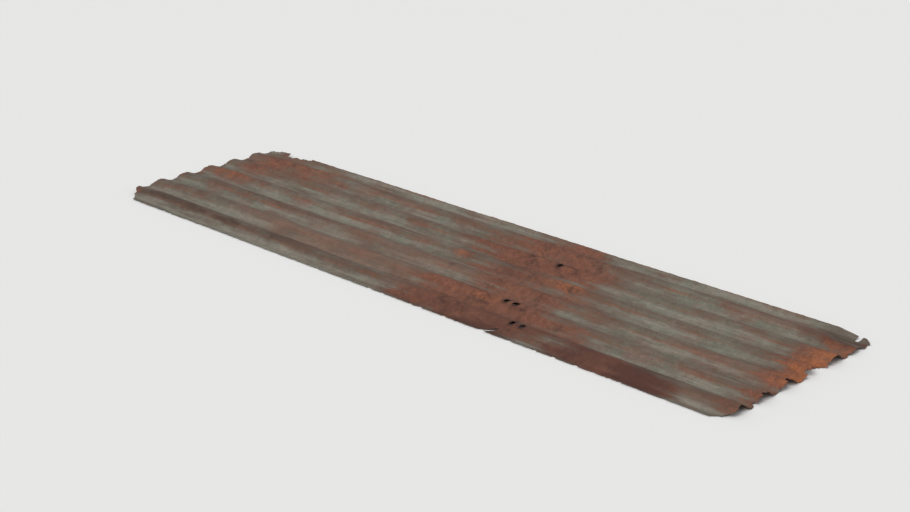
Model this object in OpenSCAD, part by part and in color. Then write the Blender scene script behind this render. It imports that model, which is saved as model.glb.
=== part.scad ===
// Corrugated metal sheet: one length of weathered galvanised roofing iron, lying flat.
// X runs along the waves, Y across them and Z up, in millimetres.
// The origin lies on the floor under the middle of the sheet.

/* [Sheet] */
// Length along the waves
sheet_l = 1800; // [1000:10:3600]
// Thickness of the metal
gauge = 0.8; // [0.6:0.05:1.5]

/* [Waves] */
// Number of crests
crests = 6; // [5:1:12]
// Distance from one crest to the next
pitch = 76.2; // [64:0.2:100]
// Height of the waves over the metal
wave_h = 18; // [12:0.5:24]
// Straight metal between one bend and the next
flank_l = 10; // [4:0.5:16]
// How far the low edge runs past the bottom of its valley
low_edge = 8; // [2:0.5:12]
// Straight metal past the last bend at the high edge
high_edge = 9; // [2:0.5:12]

/* [Nail holes] */
// Diameter of a nail hole that rust has opened
nail_d = 10; // [4:0.5:16]
// Distance from the middle of the sheet to the hole in the fifth crest
far_nail_x = 210; // [0:1:400]
// Distance from the middle to the first hole of the pair in the second crest
mid_nail_x = 266; // [0:1:400]
// Distance from the middle to the first hole of the pair in the first crest
near_nail_x = 352; // [0:1:400]
// Distance between the two holes of a pair
pair_gap = 26; // [18:1:40]
// How far the torn hole of the second crest is pulled out along the sheet
pulled_l = 7; // [2:0.5:10]
// Distance from the right end to the hole in the far corner
corner_nail_end = 32; // [26:1:60]
// Distance from the high edge to the hole in the far corner
corner_nail_side = 14; // [10:1:20]

/* [Torn edges] */
// Distance from the middle to the start of the tear in the low edge
tear_x = 285; // [0:1:400]
// Opening of the tear along the low edge
tear_mouth = 22; // [8:1:30]
// Distance along the sheet from the start of the tear to its tip
tear_l = 56; // [32:1:90]
// Distance from the low edge to the tip of the tear
tear_reach = 23; // [10:1:30]
// Distance from the left end to the notch in the high edge
notch_end = 70; // [40:1:200]
// Length of the notch along the high edge
notch_l = 85; // [30:1:160]
// Depth of the notch over its left half
notch_depth = 10; // [4:0.5:16]
// Distance from the middle of the sheet across to the rust bite in the right end
bite_y = 54; // [0:1:120]
// Diameter of the rust bite
bite_d = 48; // [30:1:70]
// Depth of the rust bite
bite_depth = 22; // [6:1:30]

/* [Lost corners] */
// Side along the sheet of the corner lost at the left end of the low edge
near_left_l = 60; // [10:1:90]
// Side across the sheet of the corner lost at the left end of the low edge
near_left_w = 60; // [10:1:90]
// Side along the sheet of the corner lost at the right end of the low edge
near_right_l = 40; // [10:1:60]
// Side across the sheet of the corner lost at the right end of the low edge
near_right_w = 30; // [10:1:60]
// Side along the sheet of the corner lost at the left end of the high edge
far_left_l = 50; // [10:1:60]
// Side across the sheet of the corner lost at the left end of the high edge
far_left_w = 9; // [4:0.5:20]
// Side along the sheet of the corner lost at the right end of the high edge
far_right_l = 20; // [5:1:22]
// Side across the sheet of the corner lost at the right end of the high edge
far_right_w = 16; // [5:1:30]

/* [Hidden] */

// Flat facets that make up one bend
bend_steps = 12;
// Facets round a hole
hole_steps = 48;
// How far a cutter reaches past the metal
past = 5;

// Height of a crest above a valley, from middle to middle of the metal
rise = wave_h - gauge;
// Slope of the straight metal, and the bend radius that meets it smoothly on both sides
flank_a = 2 * atan(rise / (pitch / 2 + flank_l));
bend_r = (pitch / 4 - flank_l / 2 * cos(flank_a)) / sin(flank_a);
// Slope at which the low edge ends, and how far the high edge runs past its valley
low_a = asin(low_edge / bend_r);
high_run = bend_r * sin(flank_a) + high_edge * cos(flank_a);
// Width over the edges
sheet_w = low_edge + crests * pitch + high_run;

// Places of the valleys and crests across the sheet, counted from the low edge
function valley_y(k) = low_edge - sheet_w / 2 + k * pitch;
function crest_y(k) = valley_y(k) + pitch / 2;

// Points along a bend, each [y, z, slope]: way is 1 in a valley and -1 on a crest
function bend(y, z, from, to, way) = [
    for (i = [0 : bend_steps])
        let (a = from + (to - from) * i / bend_steps)
        [y + bend_r * sin(a), z + way * bend_r * (1 - cos(a)), way * a]
];
function valley(k) = bend(valley_y(k), gauge / 2, k == 0 ? -low_a : -flank_a, flank_a, 1);
function crest(k) = bend(crest_y(k), wave_h - gauge / 2, -flank_a, flank_a, -1);

// The middle of the metal from the low edge to the high edge
function middle_line() = concat(
    [for (k = [0 : crests - 1]) each concat(valley(k), crest(k))],
    valley(crests),
    [[sheet_w / 2, gauge / 2 + bend_r * (1 - cos(flank_a)) + high_edge * sin(flank_a), flank_a]]
);

// A line moved off the middle of the metal, square to it
function moved(line, off) = [for (m = line) [m[0] - off * sin(m[2]), m[1] + off * cos(m[2])]];
function reversed(line) = [for (i = [len(line) - 1 : -1 : 0]) line[i]];

module section() {
    line = middle_line();
    polygon(concat(moved(line, gauge / 2), reversed(moved(line, -gauge / 2))));
}

module upright(d) {
    translate([0, 0, -past]) cylinder(d = d, h = wave_h + 2 * past, $fn = hole_steps);
}

module cut_down(points) {
    translate([0, 0, -past]) linear_extrude(wave_h + 2 * past) polygon(points);
}

module nail_hole(x, k) {
    translate([x, crest_y(k), 0]) upright(nail_d);
}

// A nail hole pulled out along the sheet
module pulled_hole(x, k) {
    nail_hole(x - pulled_l / 2, k);
    nail_hole(x + pulled_l / 2, k);
    translate([x - pulled_l / 2, crest_y(k) - nail_d / 2, -past])
        cube([pulled_l, nail_d, wave_h + 2 * past]);
}

module nail_holes() {
    nail_hole(far_nail_x, 4);
    nail_hole(mid_nail_x, 1);
    pulled_hole(mid_nail_x + pair_gap, 1);
    nail_hole(near_nail_x, 0);
    nail_hole(near_nail_x + pair_gap, 0);
}

// The nail hole in the far corner, torn out through the high edge
module torn_out_hole() {
    translate([sheet_l / 2 - corner_nail_end, sheet_w / 2 - corner_nail_side, 0]) {
        upright(nail_d);
        translate([-nail_d / 2, 0, -past])
            cube([nail_d, corner_nail_side + past, wave_h + 2 * past]);
    }
}

// The tear opens at the low edge and narrows to its tip
module tear() {
    edge = -sheet_w / 2;
    cut_down([
        [tear_x, edge - past],
        [tear_x + tear_mouth, edge - past],
        [tear_x + tear_l, edge + tear_reach],
        [tear_x, edge]
    ]);
}

// The notch drops straight at its left side and runs out along the high edge
module notch() {
    edge = sheet_w / 2;
    x = notch_end - sheet_l / 2;
    cut_down([
        [x, edge + past],
        [x, edge - notch_depth],
        [x + notch_l / 2, edge - notch_depth],
        [x + notch_l, edge],
        [x + notch_l, edge + past]
    ]);
}

// A corner lost across its diagonal: way_x and way_y point to the corner
module lost_corner(along, across, way_x, way_y) {
    x = way_x * sheet_l / 2;
    y = way_y * sheet_w / 2;
    cut_down([
        [x - way_x * along, y],
        [x - way_x * along, y + way_y * past],
        [x + way_x * past, y + way_y * past],
        [x + way_x * past, y - way_y * across],
        [x, y - way_y * across]
    ]);
}

module lost_corners() {
    lost_corner(near_left_l, near_left_w, -1, -1);
    lost_corner(near_right_l, near_right_w, 1, -1);
    lost_corner(far_left_l, far_left_w, -1, 1);
    lost_corner(far_right_l, far_right_w, 1, 1);
}

module rust_bite() {
    translate([sheet_l / 2 - bite_depth + bite_d / 2, bite_y, 0]) upright(bite_d);
}

module corrugated_sheet() {
    color("rosybrown") difference() {
        rotate([90, 0, 90]) linear_extrude(sheet_l, center = true) section();
        nail_holes();
        torn_out_hole();
        tear();
        notch();
        lost_corners();
        rust_bite();
    }
}

corrugated_sheet();
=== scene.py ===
import math
import random

import bmesh
import bpy
from bpy.props import FloatProperty, FloatVectorProperty, IntProperty, PointerProperty
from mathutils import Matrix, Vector


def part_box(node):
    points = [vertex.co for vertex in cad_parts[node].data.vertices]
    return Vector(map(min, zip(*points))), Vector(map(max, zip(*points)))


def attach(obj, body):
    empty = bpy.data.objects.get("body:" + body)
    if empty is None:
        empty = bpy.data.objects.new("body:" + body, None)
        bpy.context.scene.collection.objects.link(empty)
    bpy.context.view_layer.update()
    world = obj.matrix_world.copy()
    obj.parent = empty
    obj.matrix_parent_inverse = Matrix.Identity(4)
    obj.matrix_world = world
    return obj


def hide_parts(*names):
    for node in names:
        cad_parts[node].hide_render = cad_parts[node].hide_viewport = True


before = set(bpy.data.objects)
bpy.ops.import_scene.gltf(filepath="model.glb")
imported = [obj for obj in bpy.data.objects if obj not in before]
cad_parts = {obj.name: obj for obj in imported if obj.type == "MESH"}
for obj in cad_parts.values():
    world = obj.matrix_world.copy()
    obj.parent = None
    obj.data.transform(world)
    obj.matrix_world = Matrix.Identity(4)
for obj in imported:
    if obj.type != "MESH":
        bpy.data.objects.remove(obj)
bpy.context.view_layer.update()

bl_info = {
    "name": "Weathered Corrugated Sheet",
    "version": (1, 0, 0),
    "blender": (4, 5, 0),
    "location": "View3D > Sidebar > Roofing",
    "description": "Rolls a corrugated metal sheet, wears its edges and finishes it in rusted zinc",
    "category": "Add Mesh",
}

SHEET_LOW, SHEET_HIGH = [Vector(corner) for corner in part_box("corrugated_sheet")]
SHEET_LENGTH = SHEET_HIGH.x - SHEET_LOW.x
SHEET_HEIGHT = SHEET_HIGH.z - SHEET_LOW.z


def metres(name, description, default):
    """A length that a user may change."""
    return FloatProperty(name=name, description=description, default=default, unit="LENGTH")


def sides(name, description, default):
    """Two lengths, along and across the sheet, that a user may change."""
    return FloatVectorProperty(name=name, description=description, default=default, size=2, unit="LENGTH")


def share(name, description, default):
    """A share from 0 to 1 that a user may change."""
    return FloatProperty(
        name=name, description=description, default=default, min=0.0, max=1.0, subtype="FACTOR")


def angle(name, description, degrees):
    """An angle that a user may change, written in degrees."""
    return FloatProperty(
        name=name, description=description, default=math.radians(degrees), subtype="ANGLE")


def tint(name, description, red, green, blue):
    """A colour that a user may change, written as a screen shows it, from 0 to 255."""
    def linear(value):
        screen = value / 255
        return screen / 12.92 if screen <= 0.04045 else ((screen + 0.055) / 1.055) ** 2.4
    return FloatVectorProperty(
        name=name, description=description, default=(linear(red), linear(green), linear(blue)),
        subtype="COLOR", min=0.0, max=1.0)


class SheetShape(bpy.types.PropertyGroup):
    """Sizes of the sheet as it came off the rollers."""
    length: metres("Length", "Length along the waves", SHEET_LENGTH)
    height: metres("Wave height", "Height of the waves over the metal", SHEET_HEIGHT)
    gauge: metres("Gauge", "Thickness of the metal", 0.0008)
    pitch: metres("Pitch", "Distance from one crest to the next", 0.0762)
    flank: metres("Flank", "Straight metal between one bend and the next", 0.010)
    low_edge: metres("Low edge", "How far the low edge runs past the bottom of its valley", 0.008)
    high_edge: metres("High edge", "Straight metal past the last bend at the high edge", 0.009)
    crests: IntProperty(name="Crests", description="Number of crests", default=6)
    bend_steps: IntProperty(name="Bend steps", description="Facets in one whole bend", default=8)
    length_steps: IntProperty(name="Length steps", description="Facets along the sheet", default=260)


class SheetWear(bpy.types.PropertyGroup):
    """Holes, tears and dents that the years have left."""
    warp: metres("Warp", "How far the sheet lifts off the floor in long swells", 0.003)
    dents: metres("Dents", "Depth of the small dents", 0.0016)
    end_fray: metres("End fray", "How deep the right end is frayed", 0.012)
    edge_fray: metres("Edge fray", "How deep the long edges are frayed", 0.005)
    left_tread: share("Left tread", "Share of the wave height that is left at the left end", 0.55)
    corner_tread: share("Corner tread", "Share of the wave height left at the far right corner", 0.35)
    nail_hole: metres("Nail hole", "Radius of a nail hole that rust has opened", 0.005)
    far_nail_x: metres("Far nail", "Where the nail hole in the fifth crest is", 0.210)
    mid_nail_x: metres("Middle nail", "Where the first hole in the second crest is", 0.266)
    near_nail_x: metres("Near nail", "Where the first hole in the first crest is", 0.352)
    pair_gap: metres("Pair gap", "Distance between two holes in one crest", 0.026)
    corner_nail: sides("Corner nail", "Torn hole, from the right end and the high edge", (0.032, 0.014))
    tear_x: metres("Tear", "Where the tear opens in the low edge", 0.296)
    tear: sides("Tear size", "Mouth of the tear along the low edge and its reach across", (0.024, 0.024))
    tear_slant: metres("Tear slant", "How far the tip of the tear lies beyond its mouth", 0.040)
    notch_x: metres("Notch", "Where the notch in the high edge starts", -0.830)
    notch: sides("Notch size", "Length and depth of the notch in the high edge", (0.085, 0.011))
    bite_y: metres("Bite", "Where rust has bitten into the right end", 0.054)
    bite: metres("Bite radius", "Radius of the rust bite", 0.024)
    near_left: sides("Near left corner", "Corner lost at the left end of the low edge", (0.060, 0.060))
    near_right: sides("Near right corner", "Corner lost at the right end of the low edge", (0.040, 0.030))
    far_left: sides("Far left corner", "Corner lost at the left end of the high edge", (0.050, 0.009))
    far_right: sides("Far right corner", "Corner lost at the right end of the high edge", (0.020, 0.016))


class SheetFinish(bpy.types.PropertyGroup):
    """Colours of the zinc, the grime and the rust, some of which also paint shade and highlight."""
    # Pale zinc, which also paints the highlight on the near flanks and along the low edge
    zinc_pale_and_highlight: tint("Pale zinc", "Zinc that rain keeps clean", 133, 128, 117)
    zinc_green: tint("Green-grey zinc", "Dull zinc with a green cast", 106, 106, 94)
    zinc_warm: tint("Warm zinc", "Zinc with a thin brown film", 114, 91, 79)
    # Brown rust colour, which also paints the shade on the crests
    film_and_crest_shade: tint("Film", "Thin brown rust film", 94, 70, 58)
    # Dark brown, partly grime and partly painted shade on the crests
    dirt_and_crest_shade: tint("Dirt", "Dirt that clings to the near crests", 75, 58, 48)
    tide: tint("Tide line", "Orange line that standing water leaves", 126, 82, 64)
    blush: tint("Blush", "Pale zinc under a thin orange bloom", 131, 101, 87)
    rust_red: tint("Red rust", "Old red-brown rust", 117, 76, 61)
    rust_orange: tint("Orange rust", "Fresh orange rust", 150, 91, 60)
    rust_dark: tint("Dark rust", "Dark maroon rust scale", 71, 47, 41)
    # Black-brown rust, which also paints the dark of each open hole wider as painted shade
    hole_rim_and_shade: tint("Hole rim", "Black-brown rust on the rim of a nail hole", 34, 23, 20)


class SheetStage(bpy.types.PropertyGroup):
    """Floor, light and camera."""
    floor: tint("Floor", "Colour of the floor", 231, 231, 230)
    floor_size: metres("Floor size", "Side of the square floor", 60.0)
    sky: FloatProperty(name="Sky", description="Strength of the white sky", default=0.55)
    sun: FloatProperty(name="Sun", description="Strength of the key light", default=1.9)
    sun_size: angle("Sun size", "Width of the key light, which softens the shadows", 35)
    sun_tilt: angle("Sun tilt", "Angle of the key light from overhead towards the low edge", 42)
    sun_turn: angle("Sun turn", "Angle of the key light round the sheet", 8)
    azimuth: angle("Azimuth", "Angle of the camera round the sheet, from its low edge", 44.36)
    elevation: angle("Elevation", "Angle of the camera above the floor", 20.54)
    distance: metres("Distance", "Distance from the camera to its target", 3.8554)
    target: FloatVectorProperty(
        name="Target", description="Point that the camera looks at",
        default=(-0.0063, 0.0059, 0.009), subtype="TRANSLATION", unit="LENGTH")
    lens: FloatProperty(name="Lens", description="Focal length in millimetres", default=69.97)


class Waves:
    """Places and slopes of the bends, worked out from the sheet's sizes."""

    def __init__(self, shape):
        self.pitch = shape.pitch
        rise = shape.height - shape.gauge
        self.slope = 2 * math.atan(rise / (shape.pitch / 2 + shape.flank))
        straight = shape.flank / 2 * math.cos(self.slope)
        self.bend_r = (shape.pitch / 4 - straight) / math.sin(self.slope)
        self.low_slope = math.asin(shape.low_edge / self.bend_r)
        high_run = self.bend_r * math.sin(self.slope) + shape.high_edge * math.cos(self.slope)
        self.width = shape.low_edge + shape.crests * shape.pitch + high_run
        self.first_valley = shape.low_edge - self.width / 2
        self.valley_z = shape.gauge / 2 + self.bend_r
        self.crest_z = shape.height - shape.gauge / 2 - self.bend_r
        self.half_l = shape.length / 2
        self.half_w = self.width / 2
        self.last_crest = self.crest(shape.crests - 1)

    def valley(self, k):
        return self.first_valley + k * self.pitch

    def crest(self, k):
        return self.valley(k) + self.pitch / 2


def start_clean():
    """Leaves edit mode and clears the selection."""
    if bpy.context.object and bpy.context.object.mode != "OBJECT":
        bpy.ops.object.mode_set(mode="OBJECT")
    bpy.ops.object.select_all(action="DESELECT")


def make_active(piece):
    """Selects one piece and nothing else."""
    start_clean()
    piece.select_set(True)
    bpy.context.view_layer.objects.active = piece


def pick_verts(piece, wanted):
    """Selects the vertices of a piece in edit mode whose place passes the test."""
    bpy.ops.mesh.select_mode(type="VERT")
    bpy.ops.mesh.select_all(action="DESELECT")
    mesh = bmesh.from_edit_mesh(piece.data)
    for vert in mesh.verts:
        vert.select = wanted(vert.co)
    mesh.select_flush_mode()
    bmesh.update_edit_mesh(piece.data)


def roll_bend(steps, turn, y, z):
    """Sweeps the selected edge of the sheet round a bend."""
    bpy.ops.mesh.spin(steps=steps, angle=turn, center=(0, y, z), axis=(-1, 0, 0))


def roll_flank(run, slope):
    """Draws the selected edge of the sheet out along a straight slope."""
    step = (0, run * math.cos(slope), run * math.sin(slope))
    bpy.ops.mesh.extrude_edges_move(TRANSFORM_OT_translate={"value": step})


def roll_waves(shape, waves):
    """Starts from the low edge of the sheet and rolls every bend and flank up to the high edge."""
    start_clean()
    bpy.ops.mesh.primitive_grid_add(x_subdivisions=shape.length_steps, y_subdivisions=1, size=1.0)
    sheet = bpy.context.object
    sheet.name = "weathered_sheet"
    bpy.ops.object.mode_set(mode="EDIT")
    pick_verts(sheet, lambda co: co.y > 0)
    bpy.ops.mesh.delete(type="VERT")
    bpy.ops.mesh.select_all(action="SELECT")
    bpy.ops.transform.resize(value=(shape.length, 1, 1))
    # The row of vertices that is left lies half a metre off the middle of the grid
    grid_half = 0.5
    low_y = waves.valley(0) - waves.bend_r * math.sin(waves.low_slope)
    low_z = waves.valley_z - waves.bend_r * math.cos(waves.low_slope)
    bpy.ops.transform.translate(value=(0, low_y + grid_half, low_z))
    # Shorter facets at both ends, where the edge is ragged
    ragged_from = waves.half_l - 0.04
    pick_verts(sheet, lambda co: abs(co.x) > ragged_from)
    bpy.ops.mesh.subdivide(number_cuts=2)
    bpy.ops.mesh.select_all(action="SELECT")
    first_steps = max(2, round(shape.bend_steps * (1 + waves.low_slope / waves.slope) / 2))
    roll_bend(first_steps, waves.slope + waves.low_slope, waves.valley(0), waves.valley_z)
    for k in range(shape.crests):
        roll_flank(shape.flank, waves.slope)
        roll_bend(shape.bend_steps, -2 * waves.slope, waves.crest(k), waves.crest_z)
        roll_flank(shape.flank, -waves.slope)
        roll_bend(shape.bend_steps, 2 * waves.slope, waves.valley(k + 1), waves.valley_z)
    roll_flank(shape.high_edge, waves.slope)
    bpy.ops.mesh.select_all(action="SELECT")
    bpy.ops.mesh.remove_doubles(threshold=0.00001)
    bpy.ops.mesh.normals_make_consistent(inside=False)
    bpy.ops.object.mode_set(mode="OBJECT")
    return sheet


def weigh(sheet, name, weight_at):
    """Adds a vertex group whose weight depends on a vertex's place."""
    group = sheet.vertex_groups.new(name=name)
    for vert in sheet.data.vertices:
        weight = weight_at(vert.co)
        if weight > 0:
            group.add([vert.index], min(weight, 1.0), "REPLACE")
    return group.name


def push(sheet, name, direction, strength, grain, middle, group=""):
    """Moves the sheet's vertices by a cloud pattern with the given grain."""
    clouds = bpy.data.textures.new(name, "CLOUDS")
    clouds.noise_scale = grain
    clouds.noise_depth = 2
    modifier = sheet.modifiers.new(name, "DISPLACE")
    modifier.texture = clouds
    modifier.direction = direction
    modifier.strength = strength
    modifier.mid_level = middle
    modifier.vertex_group = group
    bpy.ops.object.modifier_apply(modifier=modifier.name)


def flatten(sheet, wanted, height_left, reach):
    """Treads the picked metal down towards the floor, and what lies round it less and less."""
    bpy.ops.object.mode_set(mode="EDIT")
    pick_verts(sheet, wanted)
    bpy.ops.transform.resize(
        value=(1, 1, height_left), center_override=(0, 0, 0), use_proportional_edit=True,
        proportional_edit_falloff="SMOOTH", proportional_size=reach)
    bpy.ops.object.mode_set(mode="OBJECT")


def dimple(sheet, x, y, depth, reach):
    """Presses the metal down round a nail."""
    bpy.ops.object.mode_set(mode="EDIT")
    mesh = bmesh.from_edit_mesh(sheet.data)
    nearest = min(mesh.verts, key=lambda vert: (vert.co.x - x) ** 2 + (vert.co.y - y) ** 2)
    place = nearest.co.copy()
    same_place = 0.0001
    pick_verts(sheet, lambda co: (co - place).length < same_place)
    bpy.ops.transform.translate(
        value=(0, 0, -depth), use_proportional_edit=True,
        proportional_edit_falloff="SMOOTH", proportional_size=reach)
    bpy.ops.object.mode_set(mode="OBJECT")


def nail_places(waves, wear):
    """Middles of the nail holes in the fifth, second and first crest."""
    return {
        "far": (wear.far_nail_x, waves.crest(4)),
        "mid": (wear.mid_nail_x, waves.crest(1)),
        "pulled": (wear.mid_nail_x + wear.pair_gap, waves.crest(1)),
        "near_a": (wear.near_nail_x, waves.crest(0)),
        "near_b": (wear.near_nail_x + wear.pair_gap, waves.crest(0)),
    }


def batter(sheet, waves, wear):
    """Warps and dents the sheet, frays its ends and long edges and treads its ends down."""
    left_strip = 0.01 - waves.half_l
    flatten(sheet, lambda co: co.x < left_strip, wear.left_tread, reach=0.12)
    corner_x = waves.half_l - 0.03
    corner_y = waves.last_crest + 0.01
    flatten(sheet, lambda co: co.x > corner_x and co.y > corner_y, wear.corner_tread, reach=0.06)
    end_reach = 0.03
    right = weigh(sheet, "right_end", lambda co: 1 - (waves.half_l - co.x) / end_reach)
    left = weigh(sheet, "left_end", lambda co: 1 - (waves.half_l + co.x) / end_reach)
    edge_reach = 0.012
    near = weigh(sheet, "near_edge", lambda co: 1 - (waves.half_w + co.y) / edge_reach)
    far = weigh(sheet, "far_edge", lambda co: 1 - (waves.half_w - co.y) / edge_reach)
    push(sheet, "right_fray", "X", -wear.end_fray, grain=0.012, middle=0.3, group=right)
    push(sheet, "left_fray", "X", wear.end_fray * 0.7, grain=0.010, middle=0.3, group=left)
    push(sheet, "near_fray", "Y", wear.edge_fray, grain=0.008, middle=0.4, group=near)
    push(sheet, "far_fray", "Y", -wear.edge_fray, grain=0.008, middle=0.4, group=far)
    push(sheet, "right_crush", "Z", wear.end_fray / 3, grain=0.025, middle=0.5, group=right)
    push(sheet, "warp", "Z", wear.warp, grain=0.40, middle=0.0)
    push(sheet, "dents", "NORMAL", wear.dents, grain=0.05, middle=0.5)
    for x, y in nail_places(waves, wear).values():
        dimple(sheet, x, y, depth=0.0018, reach=0.020)


def thicken(sheet, shape):
    """Gives the rolled surface the thickness of the metal."""
    wall = sheet.modifiers.new("gauge", "SOLIDIFY")
    wall.thickness = shape.gauge
    wall.offset = 0.0
    wall.use_even_offset = True
    bpy.ops.object.modifier_apply(modifier=wall.name)


# Height of every cutter, and how far the rim of a hole wanders, as a share of its radius
CUTTER_HEIGHT = 0.08
HOLE_ROUGH = 0.28


def roughen(amount, seed):
    """Jogs the selected vertices of a cutter in and out, so that its sides never cross."""
    bpy.ops.transform.vertex_random(offset=amount, uniform=0.0, normal=1.0, seed=seed)


def hole_cutter(x, y, radius, seed, along=1.0, across=1.0, facets=20, slot=0.0):
    """A ragged upright bar that cuts a rust hole, drawn out across the sheet where it is a slot."""
    start_clean()
    bpy.ops.mesh.primitive_cylinder_add(vertices=facets, radius=radius, depth=CUTTER_HEIGHT)
    cutter = bpy.context.object
    bpy.ops.object.mode_set(mode="EDIT")
    far_half = radius * 0.1
    pick_verts(cutter, lambda co: co.y > far_half)
    bpy.ops.transform.translate(value=(0, slot, 0))
    bpy.ops.mesh.select_all(action="SELECT")
    bpy.ops.transform.resize(value=(along, across, 1), center_override=(0, 0, 0))
    roughen(radius * HOLE_ROUGH, seed)
    bpy.ops.transform.translate(value=(x, y, 0))
    bpy.ops.object.mode_set(mode="OBJECT")
    return cutter


def start_block(along, across):
    """Starts an upright block at the origin, in edit mode."""
    start_clean()
    bpy.ops.mesh.primitive_cube_add(size=1.0)
    bpy.ops.object.mode_set(mode="EDIT")
    bpy.ops.mesh.select_all(action="SELECT")
    bpy.ops.transform.resize(value=(along, across, CUTTER_HEIGHT))
    return bpy.context.object


def finish_block(facets, rough, seed):
    """Splits the sides of the block in edit mode into facets, jogs them and leaves edit mode."""
    bpy.ops.mesh.select_all(action="SELECT")
    bpy.ops.mesh.subdivide(number_cuts=facets - 1)
    roughen(rough, seed)
    bpy.ops.object.mode_set(mode="OBJECT")


def corner_cutter(waves, way_x, way_y, lost, seed):
    """A ragged block set across a corner: way_x and way_y point to the corner."""
    along, across = lost
    diagonal = math.hypot(along, across)
    width = diagonal * 1.5
    depth = 0.06
    cutter = start_block(depth, width)
    out = Vector((way_x * across, way_y * along, 0)) / diagonal
    bpy.ops.transform.rotate(
        value=-math.atan2(out.y, out.x), orient_axis="Z", center_override=(0, 0, 0))
    middle = Vector((way_x * (waves.half_l - along / 2), way_y * (waves.half_w - across / 2), 0))
    bpy.ops.transform.translate(value=middle + out * depth / 2)
    finish_block(facets=12, rough=min(0.003, diagonal * 0.05), seed=seed)
    return cutter


def notch_cutter(waves, wear, seed):
    """A ragged wedge in the high edge, deep at its left side and running out at its right."""
    length, depth = wear.notch
    run_out = depth * 0.7
    outside = 0.02
    cutter = start_block(length, depth + outside)
    middle = wear.notch_x + length / 2
    bpy.ops.transform.translate(value=(middle, waves.half_w + (outside - depth) / 2, 0))
    pick_verts(cutter, lambda co: co.x > middle and co.y < waves.half_w)
    bpy.ops.transform.translate(value=(0, run_out, 0))
    finish_block(facets=10, rough=0.0018, seed=seed)
    return cutter


def tear_cutter(waves, wear, seed):
    """A ragged wedge that opens the tear in the low edge and slants to its tip."""
    mouth, reach = wear.tear
    tip_share = 0.12
    outside = 0.006
    cutter = start_block(mouth, reach + outside)
    middle = (reach - outside) / 2 - waves.half_w
    bpy.ops.transform.translate(value=(wear.tear_x, middle, 0))
    pick_verts(cutter, lambda co: co.y > middle)
    bpy.ops.transform.resize(value=(tip_share, 1, 1))
    bpy.ops.transform.translate(value=(wear.tear_slant, 0, 0))
    finish_block(facets=7, rough=0.0011, seed=seed)
    return cutter


def main_cutters(waves, wear):
    """The nail holes, the bite, the lost corners, the notch and the tear."""
    cutters = []
    for seed, (name, (x, y)) in enumerate(nail_places(waves, wear).items(), start=11):
        along = 1.7 if name == "pulled" else 1.0
        cutters.append(hole_cutter(x, y, wear.nail_hole, seed, along=along, across=1.25))
    from_end, from_edge = wear.corner_nail
    corner_x = waves.half_l - from_end
    corner_y = waves.half_w - from_edge
    cutters.append(hole_cutter(corner_x, corner_y, wear.nail_hole, seed=9, slot=0.03))
    bite_x = waves.half_l + 0.002
    cutters.append(hole_cutter(bite_x, wear.bite_y, wear.bite, seed=20, facets=36))
    cutters.append(corner_cutter(waves, -1, -1, wear.near_left, seed=31))
    cutters.append(corner_cutter(waves, 1, -1, wear.near_right, seed=32))
    cutters.append(corner_cutter(waves, -1, 1, wear.far_left, seed=33))
    cutters.append(corner_cutter(waves, 1, 1, wear.far_right, seed=34))
    cutters.append(notch_cutter(waves, wear, seed=35))
    cutters.append(tear_cutter(waves, wear, seed=36))
    return cutters


def spaced(luck, count, first, spacing, jog):
    """Numbers the places in a row, each a little off its step."""
    for step in range(count):
        yield step, first + step * spacing + luck.uniform(-jog, jog)


def nibble(x, y, radius, seed, along):
    """A small rust bite, drawn out along the sheet."""
    return hole_cutter(x, y, radius, seed, along=along, facets=10)


def nibble_cutters(waves, wear):
    """Small rust bites along the right end, the rusted part of the low edge and the left end."""
    luck = random.Random(4)
    low_y = -waves.half_w
    bites = []
    for step, y in spaced(luck, count=14, first=low_y + 0.02, spacing=0.034, jog=0.008):
        x = waves.half_l - luck.uniform(-0.002, 0.006)
        radius = luck.uniform(0.003, 0.0055)
        bites.append(nibble(x, y, radius, seed=40 + step, along=1.2))
    # The low edge stays whole on both sides of the tear
    clear_from = wear.tear_x - 0.031
    clear_to = wear.tear_x + 0.064
    for step, x in spaced(luck, count=13, first=-0.02, spacing=0.058, jog=0.02):
        radius = luck.uniform(0.002, 0.0045)
        if not clear_from < x < clear_to:
            bites.append(nibble(x, low_y + 0.001, radius, seed=60 + step, along=1.6))
    for step, y in spaced(luck, count=9, first=low_y + 0.08, spacing=0.044, jog=0.015):
        radius = luck.uniform(0.002, 0.004)
        bites.append(nibble(-waves.half_l, y, radius, seed=80 + step, along=1.2))
    return bites


def gather(cutters):
    """Joins small cutters into one, so that they are cut together."""
    start_clean()
    for cutter in cutters:
        cutter.select_set(True)
    bpy.context.view_layer.objects.active = cutters[0]
    bpy.ops.object.join()
    return bpy.context.object


def cut(sheet, cutter):
    """Cuts one cutter out of the sheet and clears it away."""
    make_active(sheet)
    modifier = sheet.modifiers.new("damage", "BOOLEAN")
    modifier.operation = "DIFFERENCE"
    modifier.solver = "EXACT"
    modifier.object = cutter
    bpy.ops.object.modifier_apply(modifier=modifier.name)
    bpy.data.objects.remove(cutter, do_unlink=True)


def set_down(sheet):
    """Seats the sheet on the floor and shades its bends smooth."""
    make_active(sheet)
    bpy.ops.object.mode_set(mode="EDIT")
    bpy.ops.mesh.select_all(action="SELECT")
    mesh = bmesh.from_edit_mesh(sheet.data)
    lowest = min(vert.co.z for vert in mesh.verts)
    bpy.ops.transform.translate(value=(0, 0, -lowest))
    bpy.ops.object.mode_set(mode="OBJECT")
    sharpest_bend = math.radians(40)
    bpy.ops.object.shade_smooth_by_angle(angle=sharpest_bend)


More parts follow.
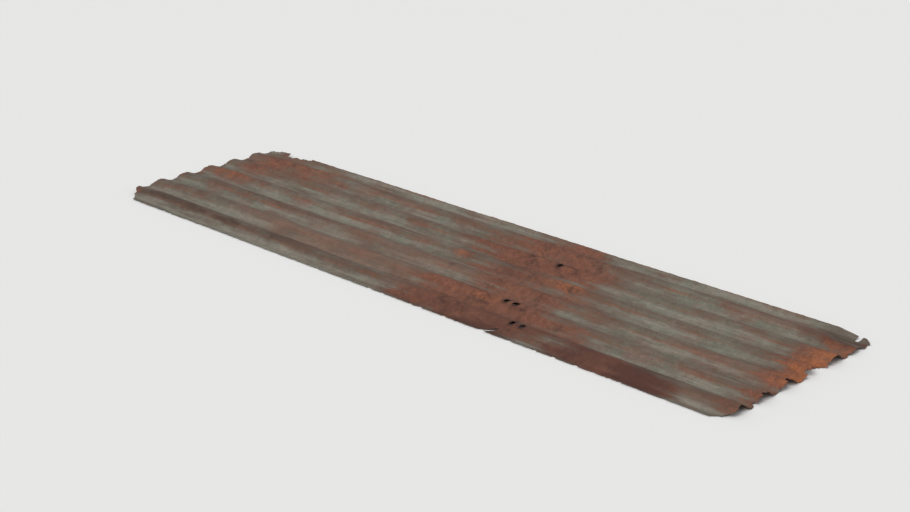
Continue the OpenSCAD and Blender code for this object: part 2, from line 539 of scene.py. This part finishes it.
class Wiring:
    """Places nodes in one tree and joins them: a value is a number, a tuple or a socket."""

    def __init__(self, tree):
        self.tree = tree

    def add(self, kind, **settings):
        node = self.tree.nodes.new(kind)
        for name, value in settings.items():
            setattr(node, name, value)
        return node

    def feed(self, socket, value):
        if isinstance(value, bpy.types.NodeSocket):
            self.tree.links.new(value, socket)
        elif socket.type == "RGBA":
            socket.default_value = (*value[:3], 1.0)
        else:
            socket.default_value = value

    def math(self, operation, first, second=0.0):
        node = self.add("ShaderNodeMath", operation=operation)
        self.feed(node.inputs[0], first)
        self.feed(node.inputs[1], second)
        return node.outputs[0]

    def product(self, first, *others):
        """Multiplies patterns with each other."""
        for other in others:
            first = self.math("MULTIPLY", first, other)
        return first

    def centred(self, value, gain):
        """A pattern from 0 to 1, moved to lie round zero and made stronger or weaker."""
        return self.product(self.math("SUBTRACT", value, 0.5), gain)

    def vector(self, operation, first, second):
        node = self.add("ShaderNodeVectorMath", operation=operation)
        self.feed(node.inputs[0], first)
        self.feed(node.inputs[1], second)
        return node.outputs["Value"] if operation == "LENGTH" else node.outputs["Vector"]

    def scaled(self, color, gain):
        """A colour made lighter or darker."""
        node = self.add("ShaderNodeVectorMath", operation="SCALE")
        self.feed(node.inputs[0], color)
        self.feed(node.inputs["Scale"], gain)
        return node.outputs["Vector"]

    def remap(self, value, low, high, to_low=0.0, to_high=1.0):
        node = self.add("ShaderNodeMapRange", interpolation_type="SMOOTHSTEP")
        for name, setting in (("Value", value), ("From Min", low), ("From Max", high),
                              ("To Min", to_low), ("To Max", to_high)):
            self.feed(node.inputs[name], setting)
        return node.outputs["Result"]

    def band(self, value, middle, reach, flat=0.0):
        """A soft band: 1 at its middle, over its flat part, and 0 from its reach on."""
        away = self.math("ABSOLUTE", self.math("SUBTRACT", value, middle))
        return self.remap(away, reach, flat)

    def blend(self, factor, first, second):
        node = self.add("ShaderNodeMix", data_type="RGBA")
        self.feed(node.inputs["Factor"], factor)
        self.feed(node.inputs["A"], first)
        self.feed(node.inputs["B"], second)
        return node.outputs["Result"]

    def mixture(self, *parts):
        """Adds up patterns, each with its weight."""
        total = 0.0
        for weight, value in parts:
            total = self.math("ADD", total, self.product(value, weight))
        return total

    def noise(self, place, scale, detail=3.0, roughness=0.55):
        node = self.add("ShaderNodeTexNoise")
        self.feed(node.inputs["Vector"], place)
        self.feed(node.inputs["Scale"], scale)
        self.feed(node.inputs["Detail"], detail)
        self.feed(node.inputs["Roughness"], roughness)
        return node.outputs["Fac"]

    def stretch(self, place, scale):
        node = self.add("ShaderNodeMapping")
        self.feed(node.inputs["Vector"], place)
        self.feed(node.inputs["Scale"], scale)
        return node.outputs["Vector"]

    def group(self, tree, **values):
        node = self.add("ShaderNodeGroup", node_tree=tree)
        for name, value in values.items():
            self.feed(node.inputs[name.title()], value)
        return node


def new_group(name, inputs, outputs):
    """Starts a shader node group with named inputs and outputs."""
    tree = bpy.data.node_groups.new(name, "ShaderNodeTree")
    for socket_name, kind in inputs:
        tree.interface.new_socket(socket_name, in_out="INPUT", socket_type=kind)
    for socket_name, kind in outputs:
        tree.interface.new_socket(socket_name, in_out="OUTPUT", socket_type=kind)
    wires = Wiring(tree)
    source = wires.add("NodeGroupInput")
    result = wires.add("NodeGroupOutput")
    return wires, source.outputs, result.inputs


def make_patch_group():
    """A soft-edged oval stain: its outline wanders with the value fed to Ragged."""
    wires, given, out = new_group(
        "stain_patch",
        [("Place", "NodeSocketVector"), ("Middle", "NodeSocketVector"), ("Reach", "NodeSocketVector"),
         ("Ragged", "NodeSocketFloat"), ("Amount", "NodeSocketFloat")],
        [("Mask", "NodeSocketFloat")])
    away = wires.vector("SUBTRACT", given["Place"], given["Middle"])
    shares = wires.vector("DIVIDE", away, given["Reach"])
    far = wires.vector("LENGTH", shares, (0, 0, 0))
    far = wires.math("ADD", far, given["Ragged"])
    inside = wires.remap(far, 1.5, 0.3)
    wires.feed(out["Mask"], wires.product(inside, given["Amount"]))
    return wires.tree


def make_rust_group():
    """Rust scale: its colour from dark to orange, its grain and the height of its pits."""
    wires, given, out = new_group(
        "rust_scale",
        [("Place", "NodeSocketVector"), ("Dark", "NodeSocketColor"), ("Red", "NodeSocketColor"),
         ("Orange", "NodeSocketColor"), ("Fresh", "NodeSocketFloat")],
        [("Color", "NodeSocketColor"), ("Height", "NodeSocketFloat"), ("Roughness", "NodeSocketFloat")])
    place = given["Place"]
    drawn_out = wires.stretch(place, (0.55, 1, 1))
    broad = wires.noise(place, scale=20.0, detail=5.0, roughness=0.62)
    blotch = wires.noise(drawn_out, scale=46.0, detail=5.0, roughness=0.62)
    flake = wires.noise(place, scale=72.0, detail=6.0, roughness=0.7)
    fleck = wires.noise(place, scale=110.0, detail=4.0, roughness=0.65)
    grain = wires.noise(place, scale=420.0, detail=3.0, roughness=0.6)
    level = wires.mixture((0.5, broad), (0.25, blotch), (0.25, fleck))
    scale = wires.blend(wires.remap(level, 0.34, 0.52), given["Dark"], given["Red"])
    bright = wires.mixture((0.60, blotch), (0.40, fleck), (0.30, given["Fresh"]))
    color = wires.blend(wires.remap(bright, 0.50, 0.86), scale, given["Orange"])
    shade = wires.product(
        wires.remap(grain, 0.30, 0.70, 0.82, 1.16), wires.remap(flake, 0.46, 0.54, 0.87, 1.08))
    wires.feed(out["Color"], wires.scaled(color, shade))
    lifted = wires.remap(flake, 0.49, 0.55)
    wires.feed(out["Height"], wires.mixture((0.5, grain), (0.5, fleck), (0.3, blotch), (0.4, lifted)))
    wires.feed(out["Roughness"], wires.remap(fleck, 0.3, 0.7, 0.84, 0.97))
    return wires.tree


# Stains that the eye finds first: middle along and across the sheet, reach along and across, amount
RUST_STAINS = (
    ("band_far", 0.170, 0.160, 0.230, 0.110, 0.75),
    ("band_middle", 0.215, -0.030, 0.240, 0.098, 0.74),
    ("band_near", 0.240, -0.160, 0.280, 0.110, 0.85),
    ("fifth_crest", 0.155, 0.100, 0.220, 0.045, 0.90),
    ("second_crest", 0.190, -0.126, 0.220, 0.044, 0.90),
    ("first_crest", 0.230, -0.205, 0.240, 0.050, 0.95),
    ("far_left", -0.720, 0.165, 0.260, 0.100, 0.68),
    ("left_end", -0.800, 0.034, 0.120, 0.042, 0.68),
    ("left_edge", -0.915, 0.020, 0.040, 0.240, 0.60),
    ("near_left", -0.880, -0.205, 0.030, 0.030, 0.60),
    ("fifth_crest_left", -0.790, 0.100, 0.110, 0.045, 0.60),
    ("second_crest_left", -0.140, -0.128, 0.220, 0.034, 0.42),
    ("third_crest_left", -0.080, -0.050, 0.180, 0.034, 0.35),
    ("fourth_crest_left", 0.005, 0.020, 0.060, 0.018, 0.62),
    ("fourth_crest_right", 0.300, 0.030, 0.060, 0.036, 0.78),
    ("third_crest_right", 0.430, -0.056, 0.090, 0.030, 0.50),
    ("low_edge", 0.610, -0.222, 0.180, 0.040, 0.85),
    ("right_end", 0.955, 0.000, 0.160, 0.270, 0.88),
)
FRESH_STAINS = (
    ("right_end", 0.900, 0.060, 0.060, 0.150, 0.80),
    ("fourth_crest_left", 0.005, 0.020, 0.050, 0.018, 0.50),
    ("fourth_crest_right", 0.300, 0.030, 0.045, 0.032, 0.60),
    ("second_crest", 0.205, -0.121, 0.045, 0.032, 0.45),
    ("far_left", -0.630, 0.202, 0.080, 0.042, 0.62),
    ("left_end", -0.800, 0.038, 0.100, 0.038, 0.50),
)
DARK_STAINS = (
    ("fourth_crest_a", 0.030, 0.038, 0.036, 0.028, 0.36),
    ("fourth_crest_b", 0.140, 0.036, 0.046, 0.030, 0.50),
    ("third_crest", 0.040, -0.050, 0.012, 0.012, 0.60),
    ("low_edge_a", 0.540, -0.220, 0.080, 0.045, 0.70),
    ("low_edge_b", 0.680, -0.220, 0.080, 0.045, 0.95),
    ("low_edge_c", 0.290, -0.236, 0.110, 0.022, 0.90),
    ("first_crest_a", 0.160, -0.215, 0.130, 0.045, 0.40),
    ("first_crest_b", 0.340, -0.205, 0.110, 0.040, 0.55),
    ("far_right", 0.855, 0.215, 0.075, 0.050, 0.58),
)
# Dark brown stains on the crests, partly grime and partly painted shade of the crest tops
DIRT_AND_CREST_SHADE_STAINS = (
    ("first_crest", -0.680, -0.202, 0.560, 0.034, 1.00),
    ("near_left", -0.780, -0.202, 0.160, 0.030, 1.35),
    ("second_crest", -0.620, -0.124, 0.380, 0.030, 0.36),
    ("third_crest", -0.600, -0.048, 0.420, 0.030, 0.32),
    ("right_corner", 0.780, -0.195, 0.180, 0.036, 0.55),
    ("far_middle", -0.250, 0.100, 0.100, 0.110, 0.22),
)
# Pale zinc: a painted highlight along the low edge, and one pale fleck on the far side
PALE_STAINS_AND_EDGE_HIGHLIGHT = (
    ("low_edge_left", -0.350, -0.242, 0.340, 0.020, 0.85),
    ("low_edge_right", 0.800, -0.240, 0.100, 0.020, 0.35),
    ("far_fleck", 0.142, 0.152, 0.012, 0.005, 0.90),
)
BLUSH_STAINS = (
    ("second_crest", -0.230, -0.140, 0.320, 0.034, 0.75),
    ("third_crest", -0.120, -0.062, 0.260, 0.030, 0.50),
    ("third_crest_right", 0.830, -0.050, 0.090, 0.034, 0.45),
)


def hole_stains(waves, wear, reach_x, reach_y):
    """Stains round the nail holes, each with its name, place, reach and amount."""
    holes = nail_places(waves, wear).items()
    return tuple((name, x, y, reach_x, reach_y, 1.0) for name, (x, y) in holes)


class Patterns:
    """Patterns on the sheet, from broad to fine, that the layers of its finish share."""

    def __init__(self, wires, waves, patch):
        self.wires = wires
        self.patch = patch
        self.place = wires.add("ShaderNodeTexCoord").outputs["Object"]
        self.broad = wires.noise(self.place, scale=7.0, detail=4.0)
        self.hue = self.drawn_out((0.7, 1, 1), scale=13.0, detail=4.0, roughness=0.6)
        self.drift = self.drawn_out((0.3, 1, 1), scale=24.0, detail=4.0, roughness=0.6)
        self.cloud = self.drawn_out((0.6, 1, 1), scale=26.0, detail=4.0, roughness=0.6)
        self.streak = self.drawn_out((1, 9, 9), scale=6.0, detail=4.0, roughness=0.6)
        self.scratch = self.drawn_out((1, 34, 34), scale=9.0, detail=2.0, roughness=0.5)
        self.bloom = wires.noise(self.place, scale=62.0, detail=5.0, roughness=0.66)
        self.speckle = wires.noise(self.place, scale=230.0, detail=3.0, roughness=0.65)
        self.pinpoint = wires.noise(self.place, scale=360.0, detail=2.0, roughness=0.5)
        # How far the outline of a stain wanders, for smooth stains and for ragged ones
        self.smooth = wires.centred(self.cloud, 1.0)
        self.ragged = wires.math("ADD", wires.centred(self.broad, 1.0), self.smooth)
        self.ragged = wires.math("ADD", self.ragged, wires.centred(self.streak, 1.6))
        # Where a point lies in its wave, 0 in the valley and 0.5 on the crest, along a wandering line
        parts = wires.add("ShaderNodeSeparateXYZ")
        wires.feed(parts.inputs[0], self.place)
        across = wires.math("SUBTRACT", parts.outputs["Y"], waves.first_valley)
        turns = wires.math("DIVIDE", across, waves.pitch)
        self.turns = wires.math("ADD", turns, wires.centred(self.broad, 0.10))
        self.phase = wires.math("FRACT", self.turns)

    def drawn_out(self, shares, **settings):
        """A noise that is drawn out along or across the sheet."""
        return self.wires.noise(self.wires.stretch(self.place, shares), **settings)

    def stains(self, places, wander):
        """The mask of a list of stains that are laid over each other."""
        mask = 0.0
        for name, x, y, reach_x, reach_y, amount in places:
            stain = self.wires.group(
                self.patch, place=self.place, middle=(x, y, 0), reach=(reach_x, reach_y, 1.0),
                ragged=wander, amount=amount)
            stain.label = name
            mask = self.wires.math("MAXIMUM", mask, stain.outputs["Mask"])
        return mask


def zinc_layer(wires, marks, finish):
    """Zinc from green-grey to warm, with pale streaks, white bloom and pale specks."""
    zinc = wires.blend(wires.remap(marks.hue, 0.43, 0.60), finish.zinc_green, finish.zinc_warm)
    zinc = wires.blend(wires.remap(marks.streak, 0.44, 0.70, 0.0, 0.55), zinc, finish.zinc_pale_and_highlight)
    zinc = wires.blend(wires.remap(marks.bloom, 0.50, 0.64, 0.0, 0.30), zinc, finish.zinc_pale_and_highlight)
    return wires.blend(wires.remap(marks.speckle, 0.60, 0.74, 0.0, 0.35), zinc, finish.zinc_pale_and_highlight)


def crest_film_and_shade_mask(wires, marks):
    """Where a thin brown layer of rust lies on the crests, which also paints the shade of the crest tops.
    """
    return wires.product(
        wires.band(marks.phase, 0.47, 0.30),
        wires.remap(marks.streak, 0.34, 0.66, 1.0, 0.60),
        wires.remap(marks.hue, 0.36, 0.58, 0.45, 1.0))


def grime_and_painted_light_layers(wires, marks, finish, film_and_crest_shade, zinc):
    """Thin brown rust on the crests and grime over it, both partly painted shade of the crest tops, a
    painted highlight of pale zinc on the near flanks, tide lines, and stains of pale zinc with a painted
    highlight along the low edge.
    """
    # Thin brown rust over the crests, partly painted shade of the crest tops
    color = wires.blend(film_and_crest_shade, zinc, finish.film_and_crest_shade)
    # Dark brown stains on the crests: partly grime, partly painted shade
    dirt_and_crest_shade = wires.product(
        marks.stains(DIRT_AND_CREST_SHADE_STAINS, marks.ragged), wires.remap(marks.cloud, 0.38, 0.60, 0.55, 1.0))
    color = wires.blend(dirt_and_crest_shade, color, finish.dirt_and_crest_shade)
    # Painted highlight: pale zinc on the near flank of every wave, the side that faces the light
    low = wires.math("FRACT", wires.math("ADD", marks.turns, 0.37))
    near_flank_highlight = wires.product(
        wires.band(low, 0.5, 0.20, flat=0.07), wires.remap(marks.streak, 0.34, 0.62, 0.14, 0.68))
    color = wires.blend(near_flank_highlight, color, finish.zinc_pale_and_highlight)
    tide = wires.product(
        wires.band(marks.phase, 0.30, 0.06),
        wires.remap(marks.drift, 0.38, 0.66, 0.10, 0.75),
        wires.remap(dirt_and_crest_shade, 0.0, 1.0, 1.0, 0.35))
    color = wires.blend(tide, color, finish.tide)
    # Pale zinc stains, with a painted highlight along the low edge
    color = wires.blend(marks.stains(PALE_STAINS_AND_EDGE_HIGHLIGHT, marks.smooth), color, finish.zinc_pale_and_highlight)
    blush = wires.product(
        marks.stains(BLUSH_STAINS, marks.ragged), wires.remap(marks.streak, 0.34, 0.60, 0.45, 1.0))
    return wires.blend(blush, color, finish.blush)


def fine_marks(wires, marks, finish, color):
    """Spangle, lengthwise scratches, specks and pinpoints of rust, over all that lies below."""
    cells = wires.add("ShaderNodeTexVoronoi", feature="F1")
    wires.feed(cells.inputs["Vector"], marks.place)
    wires.feed(cells.inputs["Scale"], 85.0)
    cell = wires.add("ShaderNodeSeparateColor")
    wires.feed(cell.inputs[0], cells.outputs["Color"])
    shade = wires.product(
        wires.remap(cell.outputs["Red"], 0.0, 1.0, 0.93, 1.07),
        wires.remap(marks.scratch, 0.30, 0.75, 0.92, 1.11),
        wires.remap(marks.speckle, 0.30, 0.70, 0.93, 1.08))
    color = wires.scaled(color, shade)
    return wires.blend(wires.remap(marks.pinpoint, 0.62, 0.72, 0.0, 0.55), color, finish.film_and_crest_shade)


def rust_layers(wires, finish, scale, stain, rusted, color):
    """A film that thins out over the stains, and rust scale where they are strong."""
    color = wires.blend(wires.product(stain, 0.85), color, finish.film_and_crest_shade)
    return wires.blend(wires.product(rusted, 0.9), color, scale.outputs["Color"])


def dark_layers(wires, marks, finish, waves, wear, color):
    """Dark scale in places and round the nail holes, and black rings round those holes, partly rust and
    partly painted shade that widens the dark of each open hole.
    """
    halos = hole_stains(waves, wear, reach_x=0.010, reach_y=0.015)
    dark = marks.stains(DARK_STAINS + halos, marks.ragged)
    color = wires.blend(wires.product(dark, 0.88), color, finish.rust_dark)
    # Black-brown rings: rust, and painted shade that widens the dark of each open hole
    rims_and_hole_shade = hole_stains(waves, wear, reach_x=0.0062, reach_y=0.0098)
    return wires.blend(marks.stains(rims_and_hole_shade, marks.smooth), color, finish.hole_rim_and_shade)


def relief(wires, marks, scale, rusted):
    """The relief of the surface: pits in the rust, bloom and fine scratches on the zinc."""
    pits = wires.product(scale.outputs["Height"], rusted)
    height = wires.mixture((1.0, pits), (0.15, marks.speckle), (0.15, marks.bloom), (0.10, marks.scratch))
    bump = wires.add("ShaderNodeBump")
    bump.inputs["Strength"].default_value = 0.5
    bump.inputs["Distance"].default_value = 0.0006
    wires.feed(bump.inputs["Height"], height)
    return bump.outputs["Normal"]


def make_finish(finish, waves, wear):
    """Rusted zinc: dull metal, grime with painted shade and highlight along the waves, fine marks, stains
    and rust scale.
    """
    material = bpy.data.materials.new("rusted_zinc")
    material.use_nodes = True
    material.node_tree.nodes.clear()
    wires = Wiring(material.node_tree)
    marks = Patterns(wires, waves, make_patch_group())
    film_and_crest_shade = crest_film_and_shade_mask(wires, marks)
    stain = marks.stains(RUST_STAINS, marks.ragged)
    breakup = wires.math("ADD", wires.centred(marks.cloud, 0.8), wires.centred(marks.speckle, 0.9))
    rusted = wires.remap(wires.math("ADD", stain, breakup), 0.36, 0.80)
    scale = wires.group(
        make_rust_group(), place=marks.place, dark=finish.rust_dark, red=finish.rust_red,
        orange=finish.rust_orange, fresh=marks.stains(FRESH_STAINS, marks.ragged))

    color = zinc_layer(wires, marks, finish)
    color = grime_and_painted_light_layers(wires, marks, finish, film_and_crest_shade, color)
    color = fine_marks(wires, marks, finish, color)
    color = rust_layers(wires, finish, scale, stain, rusted, color)
    color = dark_layers(wires, marks, finish, waves, wear, color)

    shader = wires.add("ShaderNodeBsdfPrincipled")
    shader.inputs["Specular IOR Level"].default_value = 0.2
    wires.feed(shader.inputs["Base Color"], color)
    rough = wires.add("ShaderNodeMix", data_type="FLOAT")
    wires.feed(rough.inputs["Factor"], rusted)
    wires.feed(rough.inputs["A"], wires.remap(marks.cloud, 0.3, 0.7, 0.54, 0.70))
    wires.feed(rough.inputs["B"], scale.outputs["Roughness"])
    wires.feed(shader.inputs["Roughness"], rough.outputs["Result"])
    covered = wires.math("ADD", rusted, film_and_crest_shade)
    wires.feed(shader.inputs["Metallic"], wires.remap(covered, 0.0, 0.8, 0.35, 0.0))
    wires.feed(shader.inputs["Normal"], relief(wires, marks, scale, rusted))
    surface = wires.add("ShaderNodeOutputMaterial")
    wires.feed(surface.inputs["Surface"], shader.outputs["BSDF"])
    return material


class ROOFING_OT_add_sheet(bpy.types.Operator):
    """Roll the sheet, wear it, cut its damage and give it its finish"""
    bl_idname = "roofing.add_sheet"
    bl_label = "Add Weathered Sheet"

    def execute(self, context):
        scene = context.scene
        shape = scene.sheet_shape
        wear = scene.sheet_wear
        waves = Waves(shape)
        sheet = roll_waves(shape, waves)
        batter(sheet, waves, wear)
        thicken(sheet, shape)
        for cutter in main_cutters(waves, wear):
            cut(sheet, cutter)
        cut(sheet, gather(nibble_cutters(waves, wear)))
        set_down(sheet)
        if not sheet.data.polygons:
            raise RuntimeError("the sheet came out empty")
        sheet.data.materials.clear()
        sheet.data.materials.append(make_finish(scene.sheet_finish, waves, wear))
        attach(sheet, "root")
        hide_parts("corrugated_sheet")
        return {"FINISHED"}


def make_floor_finish(color):
    """A plain pale floor."""
    material = bpy.data.materials.new("pale_floor")
    material.use_nodes = True
    shader = material.node_tree.nodes["Principled BSDF"]
    shader.inputs["Base Color"].default_value = (*color, 1.0)
    shader.inputs["Roughness"].default_value = 0.9
    return material


class ROOFING_OT_add_stage(bpy.types.Operator):
    """Lay the floor, light it softly and set up the camera"""
    bl_idname = "roofing.add_stage"
    bl_label = "Add Stage"

    def execute(self, context):
        scene = context.scene
        stage = scene.sheet_stage
        start_clean()
        bpy.ops.mesh.primitive_plane_add(size=stage.floor_size)
        floor = context.object
        floor.name = "floor"
        floor.data.materials.append(make_floor_finish(stage.floor))

        world = bpy.data.worlds.new("soft_sky")
        world.use_nodes = True
        sky = world.node_tree.nodes["Background"]
        sky.inputs["Color"].default_value = (1.0, 1.0, 1.0, 1.0)
        sky.inputs["Strength"].default_value = stage.sky
        scene.world = world

        bpy.ops.object.light_add(type="SUN", rotation=(stage.sun_tilt, 0, stage.sun_turn))
        key = context.object
        key.name = "key_light"
        key.data.energy = stage.sun
        key.data.angle = stage.sun_size

        flat = math.cos(stage.elevation)
        back = Vector((
            flat * math.sin(stage.azimuth), -flat * math.cos(stage.azimuth), math.sin(stage.elevation)))
        bpy.ops.object.camera_add(
            location=Vector(stage.target) + back * stage.distance,
            rotation=back.to_track_quat("Z", "Y").to_euler())
        camera = context.object
        camera.name = "photo_camera"
        camera.data.lens = stage.lens
        camera.data.sensor_width = 36.0
        scene.camera = camera
        scene.view_settings.view_transform = "Standard"
        return {"FINISHED"}


class ROOFING_PT_panel(bpy.types.Panel):
    """Lists the sheet's steps and its sizes"""
    bl_label = "Weathered Sheet"
    bl_idname = "ROOFING_PT_panel"
    bl_space_type = "VIEW_3D"
    bl_region_type = "UI"
    bl_category = "Roofing"

    def draw(self, context):
        scene = context.scene
        self.layout.operator(ROOFING_OT_add_sheet.bl_idname)
        self.layout.operator(ROOFING_OT_add_stage.bl_idname)
        for settings in (scene.sheet_shape, scene.sheet_wear, scene.sheet_finish, scene.sheet_stage):
            for name in settings.__annotations__:
                self.layout.prop(settings, name)


CLASSES = (SheetShape, SheetWear, SheetFinish, SheetStage,
           ROOFING_OT_add_sheet, ROOFING_OT_add_stage, ROOFING_PT_panel)


def register():
    for cls in CLASSES:
        bpy.utils.register_class(cls)
    bpy.types.Scene.sheet_shape = PointerProperty(type=SheetShape)
    bpy.types.Scene.sheet_wear = PointerProperty(type=SheetWear)
    bpy.types.Scene.sheet_finish = PointerProperty(type=SheetFinish)
    bpy.types.Scene.sheet_stage = PointerProperty(type=SheetStage)


def unregister():
    del bpy.types.Scene.sheet_stage
    del bpy.types.Scene.sheet_finish
    del bpy.types.Scene.sheet_wear
    del bpy.types.Scene.sheet_shape
    for cls in reversed(CLASSES):
        bpy.utils.unregister_class(cls)


def main():
    register()
    bpy.ops.roofing.add_sheet()
    bpy.ops.roofing.add_stage()


if __name__ == "__main__":
    main()
